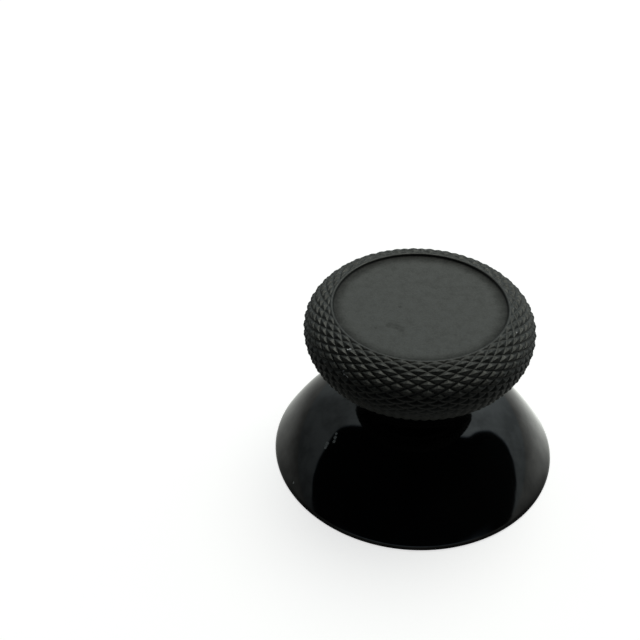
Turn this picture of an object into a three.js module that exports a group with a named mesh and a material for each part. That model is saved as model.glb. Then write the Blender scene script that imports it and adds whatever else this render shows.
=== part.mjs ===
// A thumb grip for a game controller's stick: one moulded piece, a body of revolution
// apart from the diamond knurl on its cap.
//
// The frame is in millimetres, +Z up along the axis, with the origin at the centre of the
// skirt's mouth, so the grip stands on its rim at z = 0.
import * as THREE from "three";

// The skirt, which slides under the controller's shell.
const SKIRT_RADIUS = 11.0;
const SKIRT_HEIGHT = 6.1; // up to where the dome runs into the neck's fillet
const SKIRT_WALL = 0.85; // measured level at the rim and upright near the neck
const SKIRT_EDGE_RADIUS = 0.15; // rounding of the rim's outer edge
const SKIRT_RIM_SLOPE = 60; // degrees from the horizontal, just above the rim
const SKIRT_TOP_SLOPE = 23; // degrees from the horizontal, at the fillet
const SKIRT_FULLNESS = 0.34; // how far each slope carries, as a share of the dome's span

// The neck between the skirt and the cap.
const NECK_RADIUS = 4.15;
const NECK_FOOT_SPREAD = 0.85; // fillet between the neck and the skirt, level
const NECK_FOOT_RISE = 0.95; // and upright
const NECK_LENGTH = 0.95; // straight stretch between the two fillets
const NECK_HEAD_SPREAD = 0.85; // fillet between the neck and the cap, level
const NECK_HEAD_RISE = 0.65; // and upright

// The cap: a ring of rounded section around a shallow thumb disc.
const DISC_RADIUS = 6.34;
const DISC_STEP = 0.24; // drop from the lip's crown to the disc's border
const DISC_STEP_DRAFT = 0.03; // how much narrower the disc is at the foot of its step
const DISC_STEP_ROUNDING = 0.05; // drop of the lip's inner edge below its crown
const DISC_DISH = 0.15; // how much lower the disc's middle lies than its border
const LIP_WIDTH = 0.15; // from the disc's edge to the lip's crown
const RING_BULGE = 2.03; // from the lip's crown out to the widest place
const RING_RISE = 2.05; // from the widest place up to the crown
const RING_DROP = 3.55; // from the widest place down to the underside

// The knurl: pointed diamonds in rows that are staggered by half a pitch.
const KNURL_COLUMNS = 36;
const KNURL_HALF_ROWS = 24;
const KNURL_DEPTH = 0.26;
const KNURL_TOP_SHARE = 0.5; // share of that depth in the row next to the lip
const KNURL_TOP_ROWS = 8; // half rows over which it grows to all of it
const KNURL_LIP_LAND = 0.2; // smooth band between the crown and the first row
const KNURL_FOOT_LAND = 0.95; // smooth band between the last row and the neck's fillet

// The socket for the stick's post, in a boss inside the skirt.
const SOCKET_RADIUS = 2.7;
const SOCKET_DEPTH = 7.2;
const BOSS_WALL = 1.1;
const BOSS_DRAFT = 0.2; // how much wider the boss is at its root
const BOSS_LENGTH = 2.7;

// How finely each stretch of the section is divided.
const DISC_STEPS = 2;
const LIP_STEPS = 2;
const UNDERSIDE_STEPS = 2;
const FILLET_STEPS = 3;
const DOME_STEPS = 7;
const EDGE_STEPS = 2;

const MOULDED_BLACK = 0x0b0c0c;

const COLUMNS = 2 * KNURL_COLUMNS;
const radians = THREE.MathUtils.degToRad;

// Radii and heights that follow from the sizes.
const NECK_FOOT_HEIGHT = SKIRT_HEIGHT + NECK_FOOT_RISE;
const NECK_HEAD_HEIGHT = NECK_FOOT_HEIGHT + NECK_LENGTH;
const UNDERSIDE_HEIGHT = NECK_HEAD_HEIGHT + NECK_HEAD_RISE;
const RING_MIDDLE_HEIGHT = UNDERSIDE_HEIGHT + RING_DROP;
const CROWN_HEIGHT = RING_MIDDLE_HEIGHT + RING_RISE;
const UNDERSIDE_RADIUS = NECK_RADIUS + NECK_HEAD_SPREAD;
const CROWN_RADIUS = DISC_RADIUS + LIP_WIDTH;
const RING_RADIUS = CROWN_RADIUS + RING_BULGE;
const DISC_BORDER_HEIGHT = CROWN_HEIGHT - DISC_STEP;

// A point of the section: x is the radius and y the height.
function at(radius, height) {
  return new THREE.Vector2(radius, height);
}

// The point a distance away, at an angle above the outward horizontal.
function beyond(point, angle, distance) {
  const step = at(Math.cos(angle), Math.sin(angle));
  return point.clone().addScaledVector(step, distance);
}

// A curve's points without its first one, which the stretch before it holds.
function stretch(curve, steps) {
  return curve.getPoints(steps).slice(1);
}

// A stretch of an ellipse, clockwise from one angle to a lower one.
function arc(centre, radii, from, to) {
  return new THREE.EllipseCurve(centre.x, centre.y, radii.x, radii.y, from, to, true);
}

// One face of the skirt's wall, from the neck's fillet down to the rim.
function skirtFace(top, rim) {
  const reach = SKIRT_FULLNESS * top.distanceTo(rim);
  const belowTop = beyond(top, -radians(SKIRT_TOP_SLOPE), reach);
  const aboveRim = beyond(rim, Math.PI - radians(SKIRT_RIM_SLOPE), reach);
  return new THREE.CubicBezierCurve(top, belowTop, aboveRim, rim);
}

// The height reached by going in from the skirt's top along its slope.
function slopeHeight(top, radius) {
  return top.y + (top.x - radius) * Math.tan(radians(SKIRT_TOP_SLOPE));
}

// The thumb disc from near its middle to its edge, and the step up to the lip's crown.
function discSection() {
  const border = DISC_RADIUS - DISC_STEP_DRAFT;
  const points = [];
  for (let i = 1; i <= DISC_STEPS; i++) {
    const share = i / DISC_STEPS;
    points.push(at(border * share, DISC_BORDER_HEIGHT - DISC_DISH * (1 - share * share)));
  }
  points.push(at(DISC_RADIUS, CROWN_HEIGHT - DISC_STEP_ROUNDING));
  points.push(at(CROWN_RADIUS, CROWN_HEIGHT));
  return points;
}

// The ring's section is an upper and a lower quarter ellipse that meet at its widest place.
const upper = {
  centre: at(CROWN_RADIUS, RING_MIDDLE_HEIGHT),
  radii: at(RING_BULGE, RING_RISE),
};
const lower = {
  centre: at(UNDERSIDE_RADIUS, RING_MIDDLE_HEIGHT),
  radii: at(RING_RADIUS - UNDERSIDE_RADIUS, RING_DROP),
};
const knurlTop = Math.acos(KNURL_LIP_LAND / upper.radii.x);
const knurlFoot = -Math.acos(KNURL_FOOT_LAND / lower.radii.x);

// The smooth outer side of the lip, from its crown to the knurl.
function lipSection() {
  const toKnurl = arc(upper.centre, upper.radii, Math.PI / 2, knurlTop);
  return stretch(toKnurl, LIP_STEPS).slice(0, -1);
}

// How deep the knurl is cut in a row, counted from the lip.
function knurlDepth(row) {
  const share = THREE.MathUtils.lerp(KNURL_TOP_SHARE, 1, Math.min(row / KNURL_TOP_ROWS, 1));
  return KNURL_DEPTH * share;
}

// The rows of the knurl: each has the place of its tips and, below them, of its valleys.
function knurlRows() {
  const path = new THREE.CurvePath();
  path.add(arc(upper.centre, upper.radii, knurlTop, 0));
  path.add(arc(lower.centre, lower.radii, 0, knurlFoot));
  const rows = [];
  for (let row = 0; row <= KNURL_HALF_ROWS; row++) {
    const tip = path.getPoint(row / KNURL_HALF_ROWS);
    const tangent = path.getTangent(row / KNURL_HALF_ROWS);
    const inward = at(tangent.y, -tangent.x);
    rows.push({ tip, valley: tip.clone().addScaledVector(inward, knurlDepth(row)) });
  }
  return rows;
}

// The cap's smooth underside, the neck and the outside of the skirt, down to the rim.
function outsideSection() {
  const underside = at(UNDERSIDE_RADIUS, UNDERSIDE_HEIGHT);
  const head = at(NECK_RADIUS, NECK_HEAD_HEIGHT);
  const foot = at(NECK_RADIUS, NECK_FOOT_HEIGHT);
  const top = at(NECK_RADIUS + NECK_FOOT_SPREAD, SKIRT_HEIGHT);
  const rim = at(SKIRT_RADIUS, SKIRT_EDGE_RADIUS);
  const headCorner = at(NECK_RADIUS, UNDERSIDE_HEIGHT);
  const footCorner = at(NECK_RADIUS, slopeHeight(top, NECK_RADIUS));
  const edgeCentre = at(SKIRT_RADIUS - SKIRT_EDGE_RADIUS, SKIRT_EDGE_RADIUS);
  const edgeRadii = at(SKIRT_EDGE_RADIUS, SKIRT_EDGE_RADIUS);
  return [
    ...stretch(arc(lower.centre, lower.radii, knurlFoot, -Math.PI / 2), UNDERSIDE_STEPS),
    ...stretch(new THREE.QuadraticBezierCurve(underside, headCorner, head), FILLET_STEPS),
    foot,
    ...stretch(new THREE.QuadraticBezierCurve(foot, footCorner, top), FILLET_STEPS),
    ...stretch(skirtFace(top, rim), DOME_STEPS),
    ...stretch(arc(edgeCentre, edgeRadii, 0, -Math.PI / 2), EDGE_STEPS),
  ];
}

// The inside, from the rim up to the boss, over its end face and into the socket.
function insideSection() {
  const rim = at(SKIRT_RADIUS - SKIRT_WALL, 0);
  const top = at(NECK_RADIUS + NECK_FOOT_SPREAD, SKIRT_HEIGHT - SKIRT_WALL);
  const bossRadius = SOCKET_RADIUS + BOSS_WALL;
  const root = at(bossRadius + BOSS_DRAFT, slopeHeight(top, bossRadius + BOSS_DRAFT));
  const endFace = root.y - BOSS_LENGTH;
  return [
    rim,
    ...skirtFace(top, rim).getPoints(DOME_STEPS).reverse().slice(1),
    root,
    at(bossRadius, endFace),
    at(SOCKET_RADIUS, endFace),
    at(SOCKET_RADIUS, endFace + SOCKET_DEPTH),
  ];
}

// A ring of points around the axis. Its odd and even places differ only in the knurl.
function plainRow(point) {
  return { tip: point, valley: point };
}

const ROWS = [
  ...discSection().map(plainRow),
  ...lipSection().map(plainRow),
  ...knurlRows(),
  ...outsideSection().map(plainRow),
  ...insideSection().map(plainRow),
];

// Tips and valleys alternate around a row and from one row to the next.
function isTip(row, column) {
  return (row + column) % 2 === 0;
}

// The surface is a grid of rows and columns, closed by a point on the axis at each end.
function gripGeometry() {
  const positions = [];
  const faces = [];
  ROWS.forEach((row, i) => {
    for (let column = 0; column < COLUMNS; column++) {
      const point = isTip(i, column) ? row.tip : row.valley;
      const angle = (2 * Math.PI * column) / COLUMNS;
      positions.push(point.x * Math.cos(angle), point.x * Math.sin(angle), point.y);
    }
  });
  const index = (row, column) => row * COLUMNS + (column % COLUMNS);
  for (let row = 0; row < ROWS.length - 1; row++) {
    for (let column = 0; column < COLUMNS; column++) {
      const a = index(row, column);
      const b = index(row, column + 1);
      const c = index(row + 1, column + 1);
      const d = index(row + 1, column);
      // Each cell is split along the valley that crosses it.
      if (isTip(row, column)) faces.push(a, d, b, b, d, c);
      else faces.push(a, d, c, a, c, b);
    }
  }
  const last = ROWS.length - 1;
  const discMiddle = ROWS.length * COLUMNS;
  const socketEnd = discMiddle + 1;
  positions.push(0, 0, DISC_BORDER_HEIGHT - DISC_DISH);
  positions.push(0, 0, ROWS[last].tip.y);
  for (let column = 0; column < COLUMNS; column++) {
    faces.push(discMiddle, index(0, column), index(0, column + 1));
    faces.push(socketEnd, index(last, column + 1), index(last, column));
  }
  const geometry = new THREE.BufferGeometry();
  geometry.setAttribute("position", new THREE.Float32BufferAttribute(positions, 3));
  geometry.setIndex(faces);
  geometry.computeVertexNormals();
  return geometry;
}

const grip = new THREE.Mesh(
  gripGeometry(),
  new THREE.MeshStandardMaterial({ color: MOULDED_BLACK, roughness: 0.35, metalness: 0 }),
);
grip.name = "thumb_grip";

const group = new THREE.Group();
group.add(grip);

export default group;
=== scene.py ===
import math

import bpy
import numpy as np
from mathutils import Matrix, Vector


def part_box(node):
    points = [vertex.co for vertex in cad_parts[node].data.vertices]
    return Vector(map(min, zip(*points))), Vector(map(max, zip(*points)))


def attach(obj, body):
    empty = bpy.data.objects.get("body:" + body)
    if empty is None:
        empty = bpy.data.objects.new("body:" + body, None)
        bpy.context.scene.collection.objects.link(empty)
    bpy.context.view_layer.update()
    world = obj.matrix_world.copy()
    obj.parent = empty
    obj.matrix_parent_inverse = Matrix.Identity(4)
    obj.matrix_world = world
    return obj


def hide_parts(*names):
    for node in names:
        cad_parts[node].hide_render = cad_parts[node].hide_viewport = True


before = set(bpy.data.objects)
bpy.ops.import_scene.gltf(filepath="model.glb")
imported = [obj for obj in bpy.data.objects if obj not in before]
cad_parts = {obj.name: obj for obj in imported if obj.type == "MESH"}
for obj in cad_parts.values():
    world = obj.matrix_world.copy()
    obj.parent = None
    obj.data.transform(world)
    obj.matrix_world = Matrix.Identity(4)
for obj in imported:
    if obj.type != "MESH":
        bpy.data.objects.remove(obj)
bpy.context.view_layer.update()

# Lengths of the grip are in millimetres, as in the part's source, and become metres in its mesh.
MM = 0.001

# The sizes that the frame gives.
_, node_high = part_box("thumb_grip")
SKIRT_RADIUS = node_high.x / MM
CROWN_HEIGHT = node_high.z / MM

# The skirt.
SKIRT_HEIGHT = 6.1
SKIRT_WALL = 0.85
SKIRT_EDGE_RADIUS = 0.15
SKIRT_INNER_EDGE_RADIUS = 0.1
SKIRT_RIM_SLOPE = math.radians(60)
SKIRT_TOP_SLOPE = math.radians(23)
SKIRT_FULLNESS = 0.34

# The neck.
NECK_RADIUS = 4.15
NECK_FOOT_SPREAD = 0.85
NECK_FOOT_RISE = 0.95
NECK_HEAD_SPREAD = 0.85
NECK_HEAD_RISE = 0.65

# The cap.
DISC_RADIUS = 6.34
DISC_STEP = 0.24
DISC_STEP_DRAFT = 0.03
DISC_FILLET = 0.28  # hollow rounding between the disc and its step, level
DISC_FILLET_RISE = 0.12  # and upright
DISC_STEP_ROUNDING = 0.05
DISC_STEP_LEAN = 0.03  # how far out the corner of that rounding lies
DISC_DISH = 0.15
LIP_WIDTH = 0.15
RING_BULGE = 2.03
RING_RISE = 2.05
RING_DROP = 3.55

# The knurl.
KNURL_COLUMNS = 36
KNURL_HALF_ROWS = 24
KNURL_DEPTH = 0.26
KNURL_LIP_LAND = 0.2
KNURL_FOOT_LAND = 0.95
KNURL_FULLNESS = 1.7  # 1 is a flat-sided pyramid, and more is a rounder one
KNURL_FADE = 1.0  # half rows over which the grooves run out
KNURL_TOP_SHARE = 0.5  # share of that depth next to the lip
KNURL_TOP_ROWS = 8  # half rows over which it grows to all of it

# The socket.
SOCKET_RADIUS = 2.7
SOCKET_DEPTH = 7.2
BOSS_WALL = 1.1
BOSS_DRAFT = 0.2
BOSS_LENGTH = 2.7
BOSS_EDGE_RADIUS = 0.15
BOSS_ROOT_SPREAD = 0.1  # the rounding at the boss's root: its corner, and how far down it ends
BOSS_ROOT_LEAN = 0.02
BOSS_ROOT_DROP = 0.3

# Where a half pitch and a half row of the knurl are cut, close together at crests and grooves.
CUTS = np.array([0.0, 0.1, 0.35, 0.65, 0.9])

# The ring's two arcs are worked out as fine lines of this many steps each, and its direction at
# a place over this length to either side.
FINE_STEPS = 3000
NUDGE = 0.01

# The place in half rows of what lies above and below the ring, well clear of the knurl.
ABOVE_RING = -9.0
BELOW_RING = 99.0

UNDERSIDE_HEIGHT = CROWN_HEIGHT - RING_RISE - RING_DROP
RING_MIDDLE_HEIGHT = CROWN_HEIGHT - RING_RISE
NECK_HEAD_HEIGHT = UNDERSIDE_HEIGHT - NECK_HEAD_RISE
NECK_FOOT_HEIGHT = SKIRT_HEIGHT + NECK_FOOT_RISE
UNDERSIDE_RADIUS = NECK_RADIUS + NECK_HEAD_SPREAD
CROWN_RADIUS = DISC_RADIUS + LIP_WIDTH
RING_RADIUS = CROWN_RADIUS + RING_BULGE
DISC_BORDER_HEIGHT = CROWN_HEIGHT - DISC_STEP

# The camera, found from the outlines in the photograph. Its frame is turned about the axis so
# that the knurl's points fall where the photograph has them.
CAMERA_PLACE = Vector((-7.68, -59.63, 59.81))
CAMERA_PITCH = 0.6714
CAMERA_ROLL = -0.0173
CAMERA_TURN = math.radians(1.14)
PICTURE_WIDTH = 640
FOCAL_PIXELS = 1036.25
CENTRE_OFFSET_PIXELS = (-5.42, 4.91)
SENSOR_WIDTH = 36

# The thumb has smoothed the middle of the disc out to this radius. The rest is rougher by
# this much at the disc's edge and on the ring.
WORN_RADIUS = 5.3
EDGE_ROUGHNESS = 0.3
RING_ROUGHNESS = 0.03

# Specks of dust and lint: where each lies, and its radius.
DUST_ON_SATIN = [
    ((-5.16, -4.86, 14.02), 0.12),
    ((-5.32, -4.91, 14.04), 0.09),
    ((-5.66, -5.91, 12.93), 0.1),
    ((-5.56, -6.02, 12.75), 0.1),
    ((-5.46, -6.24, 12.85), 0.08),
    ((-5.39, -6.38, 12.83), 0.11),
    ((6.53, -3.19, 14.07), 0.065),
    ((5.46, -5.74, 10.29), 0.08),
]
DUST_ON_GLOSS = [
    ((-6.79, -4.1, 4.15), 0.18),
    ((-6.87, -4.21, 4.03), 0.16),
    ((-6.95, -4.32, 3.91), 0.15),
    ((-6.12, -3.75, 4.8), 0.14),
    ((-6.2, -3.99, 4.64), 0.17),
    ((-6.28, -4.23, 4.47), 0.16),
    ((-9.41, -4.95, 0.76), 0.12),
]
DUST_COLOUR = (0.4, 0.41, 0.42, 1)
LINT_COLOUR = (0.24, 0.25, 0.245, 1)
DUST_ROUGHNESS = 0.9

# Dull smudges on the disc, given in the same way.
SMUDGES = [
    ((-1.5, -2.5, 13.9), 0.42),
    ((-1.85, -2.25, 13.9), 0.4),
    ((-2.3, -2.05, 13.9), 0.4),
    ((-3.3, -2.4, 13.9), 0.16),
    ((-1.45, 0.1, 13.9), 0.2),
]
SMUDGE_ROUGHNESS = 0.12

# The two finishes. A pair holds what a noise blends between, and lengths are in metres.
SATIN_BLACKS = ((0.003, 0.0034, 0.0032, 1), (0.005, 0.0056, 0.0052, 1))
SATIN_ROUGHNESS = (0.4, 0.56)
SATIN_SPECKLE = (-0.035, 0.035)
SATIN_SHEEN = (0.985, 1.0, 0.94, 1)
GRAIN_DEPTH = 0.000012
GRAIN_STRENGTH = 0.6
GLOSS_BLACKS = ((0.0018, 0.002, 0.002, 1), (0.0028, 0.003, 0.003, 1))
GLOSS_ROUGHNESS = (0.05, 0.1)
GLOSS_HAZE = (0.38, 0.62)
RIPPLE_DEPTH = 0.00002
RIPPLE_STRENGTH = 0.3
NOISE_LOW = 0.3  # nearly all of a noise lies between these two
NOISE_HIGH = 0.7
PLASTIC_IOR = 1.5

# The noises, each with its scale, detail and roughness.
MOTTLE = (1500, 4.0, 0.6)
SPECKLE = (6000, 1.0, 0.5)
GRAIN = (14000, 2.0, 0.6)
CLOUD = (350, 3.0, 0.5)
RIPPLE = (260, 1.0, 0.4)
HAZE = (600, 3.0, 0.6)

SATIN_SLOT = 0
GLOSS_SLOT = 1


def points(*pairs):
    return np.array(pairs, float)


def ellipse(centre, radii, start, end, steps):
    """A stretch of an ellipse, without its first point."""
    angle = np.linspace(start, end, steps + 1)[1:]
    across = centre[0] + radii[0] * np.cos(angle)
    up = centre[1] + radii[1] * np.sin(angle)
    return np.column_stack((across, up))


def bezier(corners, steps):
    """A Bezier curve through its end corners, without its first point."""
    t = np.linspace(0, 1, steps + 1)[1:, None]
    order = len(corners) - 1
    return sum(
        math.comb(order, i) * (1 - t) ** (order - i) * t**i * np.array(corner)
        for i, corner in enumerate(corners)
    )


def beyond(point, angle, distance):
    return (point[0] + math.cos(angle) * distance, point[1] + math.sin(angle) * distance)


def skirt_face(top, rim):
    reach = SKIRT_FULLNESS * math.dist(top, rim)
    below_top = beyond(top, -SKIRT_TOP_SLOPE, reach)
    above_rim = beyond(rim, math.pi - SKIRT_RIM_SLOPE, reach)
    return (top, below_top, above_rim, rim)


def slope_height(top, radius):
    return top[1] + (top[0] - radius) * math.tan(SKIRT_TOP_SLOPE)


def disc_section():
    """From near the axis out to the disc's border, up its step and onto the lip's crown."""
    foot = (DISC_RADIUS - DISC_STEP_DRAFT, DISC_BORDER_HEIGHT)
    border = foot[0] - DISC_FILLET
    radius = border * np.linspace(0, 1, 11)[1:]
    height = DISC_BORDER_HEIGHT - DISC_DISH * (1 - (radius / border) ** 2)
    wall_top = (DISC_RADIUS, CROWN_HEIGHT - DISC_STEP_ROUNDING)
    wall_low = (foot[0], DISC_BORDER_HEIGHT + DISC_FILLET_RISE)
    corner = (DISC_RADIUS + DISC_STEP_LEAN, CROWN_HEIGHT)
    return np.vstack(
        (
            np.column_stack((radius, height)),
            bezier([(border, DISC_BORDER_HEIGHT), foot, wall_low], 6),
            points(wall_top),
            bezier([wall_top, corner, (CROWN_RADIUS, CROWN_HEIGHT)], 5),
        )
    )


def ring_line():
    """The ring's section from the crown to the underside, as a fine line."""
    upper = ellipse(
        (CROWN_RADIUS, RING_MIDDLE_HEIGHT), (RING_BULGE, RING_RISE), math.pi / 2, 0, FINE_STEPS
    )
    lower = ellipse(
        (UNDERSIDE_RADIUS, RING_MIDDLE_HEIGHT),
        (RING_RADIUS - UNDERSIDE_RADIUS, RING_DROP),
        0,
        -math.pi / 2,
        FINE_STEPS,
    )
    return np.vstack((points((CROWN_RADIUS, CROWN_HEIGHT)), upper, lower))


def along(line):
    """How far along the line each of its points lies."""
    return np.concatenate(([0], np.cumsum(np.hypot(*np.diff(line, axis=0).T))))


def ring_section():
    """The ring's rows: its places, inward directions and places in half rows of the knurl."""
    line = ring_line()
    length = along(line)
    above = line[:FINE_STEPS]
    below = line[FINE_STEPS:]
    foot_radius = UNDERSIDE_RADIUS + KNURL_FOOT_LAND
    top = np.interp(KNURL_LIP_LAND, above[:, 0] - CROWN_RADIUS, length[:FINE_STEPS])
    foot = np.interp(foot_radius, below[::-1, 0], length[FINE_STEPS:][::-1])
    half_row = (foot - top) / KNURL_HALF_ROWS
    knurl = (np.arange(KNURL_HALF_ROWS)[:, None] + CUTS).ravel()
    before = np.linspace(-top / half_row, 0, 6)[1:-1]
    after = np.linspace(KNURL_HALF_ROWS, (length[-1] - top) / half_row, 9)
    place = np.concatenate((before, knurl, after))
    at = top + place * half_row
    section = np.column_stack([np.interp(at, length, line[:, i]) for i in (0, 1)])
    ahead = np.column_stack([np.interp(at + NUDGE, length, line[:, i]) for i in (0, 1)])
    behind = np.column_stack([np.interp(at - NUDGE, length, line[:, i]) for i in (0, 1)])
    tangent = ahead - behind
    tangent /= np.hypot(*tangent.T)[:, None]
    inward = np.column_stack((tangent[:, 1], -tangent[:, 0]))
    return section, inward, place


def lower_section():
    """The neck's two fillets, the outside of the skirt, its rim, the inside and the socket."""
    head = (NECK_RADIUS, NECK_HEAD_HEIGHT)
    foot = (NECK_RADIUS, NECK_FOOT_HEIGHT)
    top = (NECK_RADIUS + NECK_FOOT_SPREAD, SKIRT_HEIGHT)
    rim = (SKIRT_RADIUS, SKIRT_EDGE_RADIUS)
    edge = SKIRT_EDGE_RADIUS
    inner_rim = (SKIRT_RADIUS - SKIRT_WALL, SKIRT_INNER_EDGE_RADIUS)
    inner_top = (NECK_RADIUS + NECK_FOOT_SPREAD, SKIRT_HEIGHT - SKIRT_WALL)
    boss = SOCKET_RADIUS + BOSS_WALL
    root = (boss + BOSS_DRAFT, slope_height(inner_top, boss + BOSS_DRAFT))
    root_corner = (root[0] + BOSS_ROOT_SPREAD, root[1])
    root_end = (root[0] - BOSS_ROOT_LEAN, root[1] - BOSS_ROOT_DROP)
    end = root[1] - BOSS_LENGTH
    bevel = BOSS_EDGE_RADIUS
    underside = (UNDERSIDE_RADIUS, UNDERSIDE_HEIGHT)
    return np.vstack(
        (
            bezier([underside, (NECK_RADIUS, UNDERSIDE_HEIGHT), head], 8),
            points(foot),
            bezier([foot, (NECK_RADIUS, slope_height(top, NECK_RADIUS)), top], 8),
            bezier(skirt_face(top, rim), 30),
            ellipse((SKIRT_RADIUS - edge, edge), (edge, edge), 0, -math.pi / 2, 4),
            points((inner_rim[0] + SKIRT_INNER_EDGE_RADIUS, 0)),
            ellipse(
                (inner_rim[0] + SKIRT_INNER_EDGE_RADIUS, SKIRT_INNER_EDGE_RADIUS),
                (SKIRT_INNER_EDGE_RADIUS, SKIRT_INNER_EDGE_RADIUS),
                -math.pi / 2,
                -math.pi,
                3,
            ),
            bezier(skirt_face(inner_top, inner_rim)[::-1], 16),
            bezier([inner_top, root_corner, root_end], 4),
            points((boss, end + bevel)),
            ellipse((boss - bevel, end + bevel), (bevel, bevel), 0, -math.pi / 2, 3),
            points((SOCKET_RADIUS + bevel, end)),
            ellipse(
                (SOCKET_RADIUS + bevel, end + bevel), (bevel, bevel), -math.pi / 2, -math.pi, 3
            ),
            points((SOCKET_RADIUS, end + SOCKET_DEPTH - bevel)),
            bezier(
                [
                    (SOCKET_RADIUS, end + SOCKET_DEPTH - bevel),
                    (SOCKET_RADIUS, end + SOCKET_DEPTH),
                    (SOCKET_RADIUS - bevel, end + SOCKET_DEPTH),
                ],
                2,
            ),
        )
    )


def groove_depth(column, row):
    """How far below the points of the knurl the surface lies, as a share of its depth."""
    one = (column + row) / 2
    other = (column - row) / 2
    from_groove = 2 * np.minimum(np.abs(one - np.round(one)), np.abs(other - np.round(other)))
    return (1 - from_groove) ** KNURL_FULLNESS


def knurl_share(row):
    """1 on the knurl, and 0 past both of its ends, where the grooves run out."""
    above = np.clip(1 + row / KNURL_FADE, 0, 1)
    below = np.clip(1 + (KNURL_HALF_ROWS - row) / KNURL_FADE, 0, 1)
    share = np.minimum(above, below)
    grown = KNURL_TOP_SHARE + (1 - KNURL_TOP_SHARE) * np.clip(row / KNURL_TOP_ROWS, 0, 1)
    return share * share * (3 - 2 * share) * grown


def grip_mesh():
    disc = disc_section()
    ring, inward, place = ring_section()
    lower = lower_section()
    section = np.vstack((disc, ring, lower))
    shift = np.vstack((np.zeros_like(disc), inward, np.zeros_like(lower)))
    row_place = np.concatenate(
        (np.full(len(disc), ABOVE_RING), place, np.full(len(lower), BELOW_RING))
    )
    column_place = (np.arange(2 * KNURL_COLUMNS)[:, None] + CUTS).ravel()
    columns = len(column_place)
    rows = len(section)
    share = knurl_share(row_place)[:, None]
    depth = KNURL_DEPTH * share * groove_depth(column_place[None, :], row_place[:, None])
    radius = section[:, 0, None] + shift[:, 0, None] * depth
    height = section[:, 1, None] + shift[:, 1, None] * depth
    angle = column_place[None, :] * math.pi / KNURL_COLUMNS
    grid = np.stack((radius * np.cos(angle), radius * np.sin(angle), height + 0 * angle), -1)
    ends = points((0, 0, DISC_BORDER_HEIGHT - DISC_DISH), (0, 0, section[-1, 1]))
    vertices = np.vstack((grid.reshape(-1, 3), ends)) * MM

    faces = []
    slots = []
    first_smooth = len(disc) + int(np.searchsorted(place, KNURL_HALF_ROWS + KNURL_FADE))
    for row in range(rows - 1):
        slot = SATIN_SLOT if row < first_smooth else GLOSS_SLOT
        knurled = share[row, 0] > 0 or share[row + 1, 0] > 0
        cell_row = math.floor((row_place[row] + row_place[row + 1]) / 2)
        for column in range(columns):
            after = (column + 1) % columns
            a = row * columns + column
            b = row * columns + after
            c = b + columns
            d = a + columns
            if not knurled:
                faces.append((a, d, c, b))
                slots.append(slot)
            elif (cell_row + column // len(CUTS)) % 2 == 0:
                faces += [(a, c, b), (a, d, c)]
                slots += [slot] * 2
            else:
                faces += [(a, d, b), (b, d, c)]
                slots += [slot] * 2
    last = (rows - 1) * columns
    for column in range(columns):
        after = (column + 1) % columns
        faces.append((rows * columns, column, after))
        slots.append(SATIN_SLOT)
        faces.append((rows * columns + 1, last + after, last + column))
        slots.append(GLOSS_SLOT)

    mesh = bpy.data.meshes.new("grip")
    mesh.from_pydata(vertices.tolist(), [], faces)
    mesh.polygons.foreach_set("material_index", slots)
    mesh.polygons.foreach_set("use_smooth", [True] * len(faces))
    mesh.validate()
    mesh.update()
    return mesh


class Nodes:
    """A short way to write a node tree."""

    def __init__(self, tree):
        self.tree = tree
        tree.nodes.clear()

    def add(self, kind, inputs=None, **settings):
        node = self.tree.nodes.new(kind)
        for name, value in settings.items():
            setattr(node, name, value)
        for key, value in (inputs or {}).items():
            self.give(node.inputs[key], value)
        return node

    def give(self, socket, value):
        if isinstance(value, bpy.types.NodeSocket):
            self.tree.links.new(value, socket)
        else:
            socket.default_value = value

    def math(self, operation, a, b=0.0, clamp=False):
        node = self.add("ShaderNodeMath", {0: a, 1: b}, operation=operation, use_clamp=clamp)
        return node.outputs[0]

    def noise(self, coordinate, scale, detail, roughness):
        inputs = {"Vector": coordinate, "Scale": scale, "Detail": detail, "Roughness": roughness}
        return self.add("ShaderNodeTexNoise", inputs).outputs[0]

    def span(self, value, low, high, from_low=0.0, from_high=1.0, smooth=False):
        kind = "SMOOTHSTEP" if smooth else "LINEAR"
        inputs = {0: value, 1: from_low, 2: from_high, 3: low, 4: high}
        return self.add("ShaderNodeMapRange", inputs, interpolation_type=kind).outputs[0]

    def curve(self, value, places):
        """A smooth curve through places, whose own range is -1 to 1."""
        node = self.add("ShaderNodeFloatCurve", {1: value})
        line = node.mapping.curves[0]
        for place, height in places[1:-1]:
            line.points.new(place, (height + 1) / 2)
        for end in (0, -1):
            line.points[end].location = (places[end][0], (places[end][1] + 1) / 2)
        node.mapping.update()
        return self.math("SUBTRACT", self.math("MULTIPLY", node.outputs[0], 2.0), 1.0)

    def spot(self, where, place, radius):
        """1 in the middle of a soft spot, and 0 from its radius on."""
        middle = tuple(part * MM for part in place)
        away = self.add("ShaderNodeVectorMath", {0: where, 1: middle}, operation="DISTANCE")
        return self.span(away.outputs[1], 1, 0, radius * MM / 2, radius * MM, smooth=True)

    def specks(self, where, places):
        """How much of the surface a few soft spots hide."""
        share = 0.0
        for place, radius in places:
            share = self.math("ADD", share, self.spot(where, place, radius), clamp=True)
        return share

    def between(self, noise, pair):
        """A number that the noise takes from the pair's first to its second."""
        return self.span(noise, *pair, NOISE_LOW, NOISE_HIGH)

    def blend(self, share, one, other):
        node = self.add("ShaderNodeMix", data_type="RGBA")
        self.give(node.inputs[0], share)
        self.give(node.inputs[6], one)
        self.give(node.inputs[7], other)
        return node.outputs[2]


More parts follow.
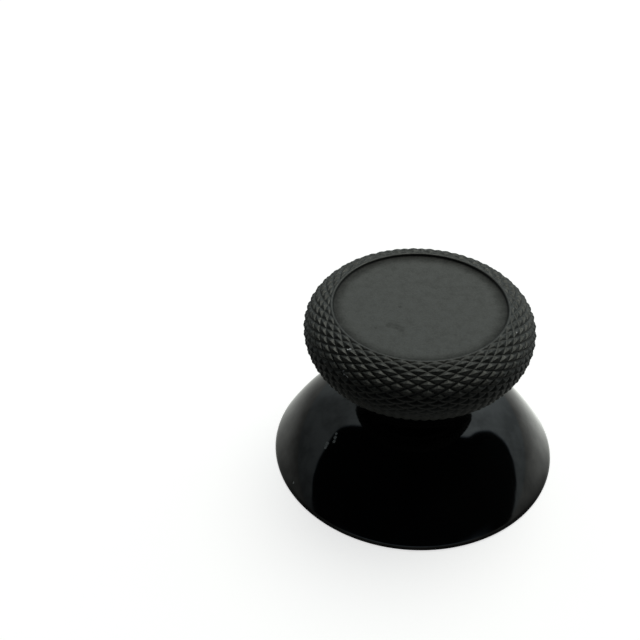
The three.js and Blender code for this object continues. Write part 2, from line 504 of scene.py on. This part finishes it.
def satin_plastic():
    """The matt, finely grained finish of the disc, the lip and the knurl."""
    material = bpy.data.materials.new("satin_plastic")
    material.use_nodes = True
    nodes = Nodes(material.node_tree)
    where = nodes.add("ShaderNodeTexCoord").outputs["Object"]
    mottle = nodes.noise(where, *MOTTLE)
    speckle = nodes.noise(where, *SPECKLE)
    grain = nodes.noise(where, *GRAIN)
    colour = nodes.blend(nodes.between(mottle, (0, 1)), *SATIN_BLACKS)
    x, y, _ = nodes.add("ShaderNodeSeparateXYZ", {0: where}).outputs
    level_place = nodes.add("ShaderNodeCombineXYZ", {0: x, 1: y}).outputs[0]
    reach = nodes.add("ShaderNodeVectorMath", {0: level_place}, operation="LENGTH").outputs[1]
    unworn = nodes.span(reach, 0, EDGE_ROUGHNESS, WORN_RADIUS * MM, DISC_RADIUS * MM, smooth=True)
    on_disc = nodes.math("LESS_THAN", reach, DISC_RADIUS * MM)
    unworn = nodes.span(on_disc, RING_ROUGHNESS, unworn)
    rough = nodes.math("ADD", nodes.between(mottle, SATIN_ROUGHNESS), unworn)
    rough = nodes.math("ADD", rough, nodes.between(speckle, SATIN_SPECKLE))
    smudged = nodes.math("MULTIPLY", nodes.specks(where, SMUDGES), SMUDGE_ROUGHNESS)
    rough = nodes.math("ADD", rough, smudged)
    dust = nodes.specks(where, DUST_ON_SATIN)
    colour = nodes.blend(dust, colour, DUST_COLOUR)
    rough = nodes.span(dust, rough, DUST_ROUGHNESS)
    bump = nodes.add(
        "ShaderNodeBump",
        {"Height": grain, "Strength": GRAIN_STRENGTH, "Distance": GRAIN_DEPTH},
    ).outputs[0]
    shader = nodes.add(
        "ShaderNodeBsdfPrincipled",
        {
            "Base Color": colour,
            "Roughness": rough,
            "IOR": PLASTIC_IOR,
            "Specular Tint": SATIN_SHEEN,
            "Normal": bump,
        },
    )
    nodes.add("ShaderNodeOutputMaterial", {"Surface": shader.outputs[0]})
    return material


def gloss_plastic():
    """The polished finish of the neck, the skirt and the inside."""
    material = bpy.data.materials.new("gloss_plastic")
    material.use_nodes = True
    nodes = Nodes(material.node_tree)
    where = nodes.add("ShaderNodeTexCoord").outputs["Object"]
    cloud = nodes.noise(where, *CLOUD)
    ripple = nodes.noise(where, *RIPPLE)
    haze = nodes.noise(where, *HAZE)
    colour = nodes.blend(cloud, *GLOSS_BLACKS)
    dust = nodes.specks(where, DUST_ON_GLOSS)
    colour = nodes.blend(dust, colour, LINT_COLOUR)
    rough = nodes.span(dust, nodes.between(cloud, GLOSS_ROUGHNESS), DUST_ROUGHNESS)
    bump = nodes.add(
        "ShaderNodeBump",
        {"Height": ripple, "Strength": RIPPLE_STRENGTH, "Distance": RIPPLE_DEPTH},
    ).outputs[0]
    shader = nodes.add(
        "ShaderNodeBsdfPrincipled",
        {
            "Base Color": colour,
            "Roughness": rough,
            "IOR": PLASTIC_IOR,
            "Specular IOR Level": nodes.span(haze, *GLOSS_HAZE, *GLOSS_HAZE),
            "Normal": bump,
        },
    )
    nodes.add("ShaderNodeOutputMaterial", {"Surface": shader.outputs[0]})
    return material


def make_grip():
    grip = bpy.data.objects.new("grip", grip_mesh())
    bpy.context.scene.collection.objects.link(grip)
    grip.data.materials.append(satin_plastic())
    grip.data.materials.append(gloss_plastic())
    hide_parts("thumb_grip")
    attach(grip, "root")


# The studio: a bright sweep behind the grip and a dark room on the camera's side.
FLOOR_SIZE = 3.0
# The floor's light as the grip sees it: close to the grip and far out, where it meets the sweep. It
# is a painted glow, not a lamp: brighter on the right and darker on the left as painted shade, and
# dim close in front as a painted shadow of the grip.
FLOOR_LEFT = 0.66
FLOOR_RIGHT = 1.55
FLOOR_FRONT = 0.05
FLOOR_FRONT_FAR = 0.35
FLOOR_FADE = 1.5  # how fast the one gives way to the other
SHADOW_WEIGHT = 0.3  # how much of the floor's white the grip's shadow can take away
FLOOR_LIGHT = 0.6  # a white floor sends back a little more where nothing shades it
SWEEP_LEFT = 0.14  # the sweep's light at the horizon, left and right
SWEEP_RIGHT = 0.34
SWEEP_RISE = 2.4  # what it gives more straight up, as a multiple of that
SWEEP_BACK = 1.8  # how many times more it gives straight behind
DARK_ROOM = 0.003
FRONT_BAND = 0.3  # a low bright band in front, beneath the dark opening
SWEEP_TINT = (0.9, 1.01, 1.03, 1)
FLOOR_TINT = (1.0, 1.03, 0.98, 1)
DARK_TINT = (0.8, 1.0, 1.2, 1)

# Where the studio's light changes, as a part of a direction: sideways, back or upwards.
SIDE_SPAN = (-0.7, 0.7)  # from the left of the sweep and floor to their right
BACK_SPAN = (0.6, 0.95)  # towards straight behind
FRONT_SPAN = (-0.95, -0.5)  # away from straight in front
FLOOR_SPAN = (-0.6, 0.6)  # from front to back on the floor close to the grip
BAND_SPAN = (0.06, 0.16)  # at the front band's upper edge
OPENING_SPAN = (-0.02, 0.02)  # across the dark opening's edge
OPENING_SIDE_SPAN = (-0.2, 0.2)  # from the opening's left outline to its right one

# The lamp.
LAMP_PLACE = (0.09, 0.18, 0.46)
LAMP_TARGET = (0, 0, 0.008)
LAMP_SIZE = 0.36
LAMP_POWER = 1.08
LAMP_COLOUR = (1.03, 1.02, 0.93)

# How far back the dark opening reaches at a few heights, both as parts of a direction.
OPENING_LEFT = [(0.0, -0.3), (0.17, 0.0), (0.4, 0.15), (0.57, 0.25), (0.8, 0.18), (1.0, 0.0)]
OPENING_RIGHT = [(0.0, -0.3), (0.16, 0.09), (0.42, 0.23), (0.68, 0.13), (0.79, 0.0), (1.0, 0.1)]


def make_floor():
    """A white floor that keeps the grip's shadow, and that is open to a view from below. To the
    grip's own rays it is a glow with painted light and shade: brighter on the right, darker on the
    left, and dim close in front as a painted shadow of the grip.
    """
    half = FLOOR_SIZE / 2
    mesh = bpy.data.meshes.new("floor")
    corners = [(-half, -half, 0), (half, -half, 0), (half, half, 0), (-half, half, 0)]
    mesh.from_pydata(corners, [], [(0, 1, 2, 3)])
    floor = bpy.data.objects.new("floor", mesh)
    bpy.context.scene.collection.objects.link(floor)
    material = bpy.data.materials.new("floor_white")
    material.use_nodes = True
    nodes = Nodes(material.node_tree)
    camera_ray = nodes.add("ShaderNodeLightPath").outputs["Is Camera Ray"]
    where = nodes.add("ShaderNodeTexCoord").outputs["Object"]
    outward = nodes.add("ShaderNodeVectorMath", {0: where}, operation="NORMALIZE").outputs[0]
    reach = nodes.add("ShaderNodeVectorMath", {0: where}, operation="LENGTH").outputs[1]
    x, y, _ = nodes.add("ShaderNodeSeparateXYZ", {0: outward}).outputs
    close = nodes.span(x, FLOOR_LEFT, FLOOR_RIGHT, *SIDE_SPAN)
    close = nodes.span(y, FLOOR_FRONT, close, *FLOOR_SPAN, smooth=True)
    far = nodes.span(x, SWEEP_LEFT, SWEEP_RIGHT, *SIDE_SPAN)
    far = nodes.math("MULTIPLY", far, nodes.span(y, 1, SWEEP_BACK, *BACK_SPAN, smooth=True))
    far = nodes.span(y, FLOOR_FRONT_FAR, far, *FRONT_SPAN, smooth=True)
    near = nodes.math("DIVIDE", SKIRT_RADIUS * MM, reach, clamp=True)
    near = nodes.math("POWER", near, FLOOR_FADE)
    level = nodes.span(near, far, close)
    # Painted light: to all but camera rays the floor glows at a level set by direction and
    # distance, with painted shade on the left and a painted shadow of the grip close in front.
    painted_floor_glow = nodes.add("ShaderNodeEmission", {"Color": FLOOR_TINT, "Strength": level}).outputs[0]
    weight = SHADOW_WEIGHT / FLOOR_LIGHT
    shaded = nodes.add("ShaderNodeBsdfDiffuse", {"Color": (weight, weight, weight, 1)})
    white = nodes.add("ShaderNodeEmission", {"Strength": 1 - SHADOW_WEIGHT})
    seen = nodes.add("ShaderNodeAddShader", {0: shaded.outputs[0], 1: white.outputs[0]})
    top = nodes.add("ShaderNodeMixShader", {0: camera_ray, 1: painted_floor_glow, 2: seen.outputs[0]})
    below = nodes.add("ShaderNodeNewGeometry").outputs["Backfacing"]
    clear = nodes.math("MULTIPLY", below, camera_ray)
    through = nodes.add("ShaderNodeBsdfTransparent").outputs[0]
    both = nodes.add("ShaderNodeMixShader", {0: clear, 1: top.outputs[0], 2: through})
    nodes.add("ShaderNodeOutputMaterial", {"Surface": both.outputs[0]})
    mesh.materials.append(material)


def make_world():
    """White behind everything for the camera. The grip is lit by, and mirrors, a sweep behind it
    and a dark opening on the camera's side."""
    world = bpy.data.worlds.new("studio")
    bpy.context.scene.world = world
    world.use_nodes = True
    nodes = Nodes(world.node_tree)
    direction = nodes.add("ShaderNodeTexCoord").outputs["Generated"]
    parts = nodes.add("ShaderNodeSeparateXYZ", {0: direction})
    x, y, z = parts.outputs
    left_edge = nodes.curve(z, OPENING_LEFT)
    right_edge = nodes.curve(z, OPENING_RIGHT)
    side = nodes.span(x, 0, 1, *OPENING_SIDE_SPAN, smooth=True)
    gap = nodes.math("SUBTRACT", right_edge, left_edge)
    edge = nodes.math("ADD", left_edge, nodes.math("MULTIPLY", side, gap))
    past = nodes.math("SUBTRACT", y, edge)
    bright = nodes.span(past, 0, 1, *OPENING_SPAN, smooth=True)
    level = nodes.span(x, SWEEP_LEFT, SWEEP_RIGHT, *SIDE_SPAN)
    level = nodes.math("MULTIPLY", level, nodes.span(z, 1, 1 + SWEEP_RISE))
    level = nodes.math("MULTIPLY", level, nodes.span(y, 1, SWEEP_BACK, *BACK_SPAN, smooth=True))
    low = nodes.span(z, FRONT_BAND, 0, *BAND_SPAN, smooth=True)
    band = nodes.math("MULTIPLY", low, nodes.span(y, 1, 0, *FRONT_SPAN, smooth=True))
    light = nodes.math("ADD", nodes.math("MULTIPLY", bright, level), DARK_ROOM)
    light = nodes.math("ADD", light, band)
    tint = nodes.blend(bright, DARK_TINT, SWEEP_TINT)
    lit = nodes.add("ShaderNodeBackground", {"Color": tint, "Strength": light})
    white = nodes.add("ShaderNodeBackground", {"Strength": 1.0})
    camera_ray = nodes.add("ShaderNodeLightPath").outputs["Is Camera Ray"]
    both = nodes.add("ShaderNodeMixShader", {0: camera_ray, 1: lit.outputs[0], 2: white.outputs[0]})
    nodes.add("ShaderNodeOutputWorld", {"Surface": both.outputs[0]})


def make_lamp():
    """A soft round lamp that faces the grip."""
    lamp = bpy.data.lights.new("key", "AREA")
    lamp.shape = "DISK"
    lamp.size = LAMP_SIZE
    lamp.energy = LAMP_POWER
    lamp.color = LAMP_COLOUR
    holder = bpy.data.objects.new("key", lamp)
    bpy.context.scene.collection.objects.link(holder)
    holder.location = LAMP_PLACE
    ahead = Vector(LAMP_TARGET) - Vector(LAMP_PLACE)
    holder.rotation_euler = ahead.to_track_quat("-Z", "Y").to_euler()


def make_camera():
    """The photograph's camera, at its angle and with its field of view."""
    camera = bpy.data.cameras.new("camera")
    camera.sensor_width = SENSOR_WIDTH
    camera.lens = FOCAL_PIXELS / PICTURE_WIDTH * SENSOR_WIDTH
    camera.shift_x = -CENTRE_OFFSET_PIXELS[0] / PICTURE_WIDTH
    camera.shift_y = CENTRE_OFFSET_PIXELS[1] / PICTURE_WIDTH
    camera.clip_start = 0.001
    holder = bpy.data.objects.new("camera", camera)
    bpy.context.scene.collection.objects.link(holder)
    right = Vector((1, 0, 0))
    down = Vector((0, -math.sin(CAMERA_PITCH), -math.cos(CAMERA_PITCH)))
    ahead = Vector((0, math.cos(CAMERA_PITCH), -math.sin(CAMERA_PITCH)))
    cosine, sine = math.cos(CAMERA_ROLL), math.sin(CAMERA_ROLL)
    across = cosine * right - sine * down
    downward = sine * right + cosine * down
    axes = Matrix((across, -downward, -ahead)).transposed()
    turn = Matrix.Rotation(CAMERA_TURN, 4, "Z")
    place = Matrix.Translation(CAMERA_PLACE * MM)
    holder.matrix_world = turn @ place @ axes.to_4x4()
    bpy.context.scene.camera = holder


make_grip()
make_floor()
make_world()
make_lamp()
make_camera()
bpy.context.scene.view_settings.view_transform = "Standard"
